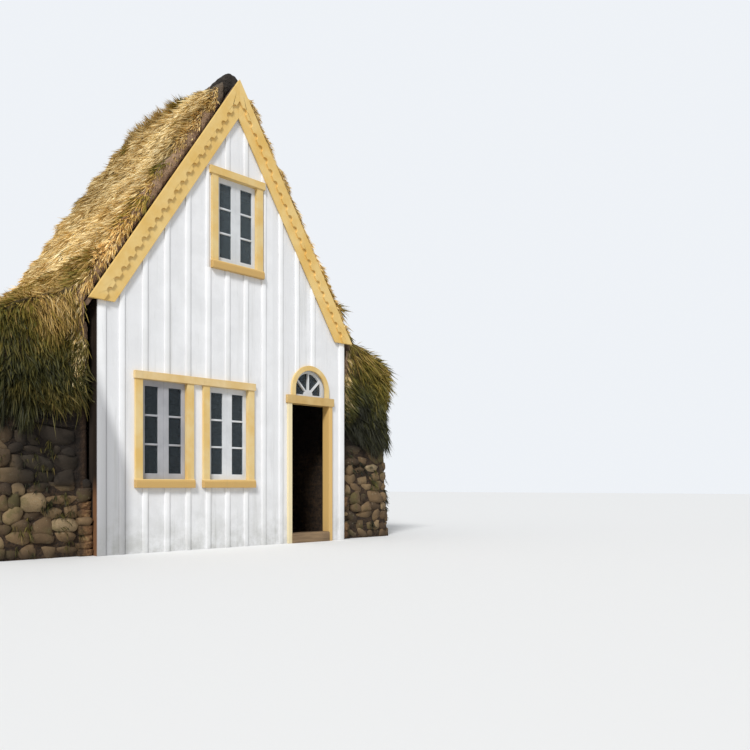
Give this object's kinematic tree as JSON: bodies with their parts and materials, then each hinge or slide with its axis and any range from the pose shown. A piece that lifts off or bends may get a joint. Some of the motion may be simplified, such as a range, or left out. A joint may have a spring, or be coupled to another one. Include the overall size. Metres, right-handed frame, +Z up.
{
  "type": "gable-fronted turf house",
  "caption": "Small gable-fronted turf house: white boarded timber front with yellow trims between stone-and-turf side walls, steep grassed roof and an arched fanlight over an open doorway.",
  "frame": {"origin": "middle of the overall box, on the ground", "axes": "+Z up, the boarded front faces -Y, +X to the right as seen from the front"},
  "size_m": [6.2, 3.39, 6.32],
  "materials": {
    "wall_stone": "rough field stone laid with turf, brown and grey",
    "turf": "turf with long dry golden and olive grass",
    "dark_sod": "dark peaty sod, rough",
    "white_boards": "vertical boards painted matt white",
    "yellow_trim": "boards painted ochre yellow, satin",
    "white_sash": "painted white, satin",
    "window_glass": "old window glass, slightly wavy",
    "frame_timber": "bare darkened softwood",
    "floor_boards": "bare worn softwood boards",
    "worn_step": "weathered bare timber"
  },
  "bodies": {
    "root": {"barge_trim_left": "yellow_trim", "barge_trim_right": "yellow_trim", "bargeboard_left": "yellow_trim", "bargeboard_right": "yellow_trim", "collar_beams": "frame_timber", "door_frame": "yellow_trim", "door_hood": "yellow_trim", "fanlight_arch": "yellow_trim", "fanlight_glass": "window_glass", "fanlight_sash": "white_sash", "front_gable": "white_boards", "front_wall_left": "white_boards", "front_wall_over_door": "white_boards", "front_wall_right": "white_boards", "gable_window_frame": "yellow_trim", "gable_window_glass": "window_glass", "gable_window_sashes": "white_sash", "ground_floor": "floor_boards", "loft_floor": "floor_boards", "party_wall_left": "wall_stone", "party_wall_right": "wall_stone", "posts_left": "frame_timber", "posts_right": "frame_timber", "rafters_left": "frame_timber", "rafters_right": "frame_timber", "rear_bargeboards": "yellow_trim", "rear_gable": "white_boards", "rear_turf": "turf", "rear_wall": "wall_stone", "rear_window_frame": "yellow_trim", "rear_window_glass": "window_glass", "rear_window_sashes": "white_sash", "ridge_block": "dark_sod", "ridge_turf": "turf", "roof_boards_left": "frame_timber", "roof_boards_right": "frame_timber", "threshold": "worn_step", "tie_beams": "frame_timber", "turf_left": "turf", "turf_right": "turf", "wall_plates": "frame_timber", "window_head_board": "yellow_trim", "window_left_frame": "yellow_trim", "window_left_glass": "window_glass", "window_left_sashes": "white_sash", "window_right_frame": "yellow_trim", "window_right_glass": "window_glass", "window_right_sashes": "white_sash"}
  },
  "joints": []
}
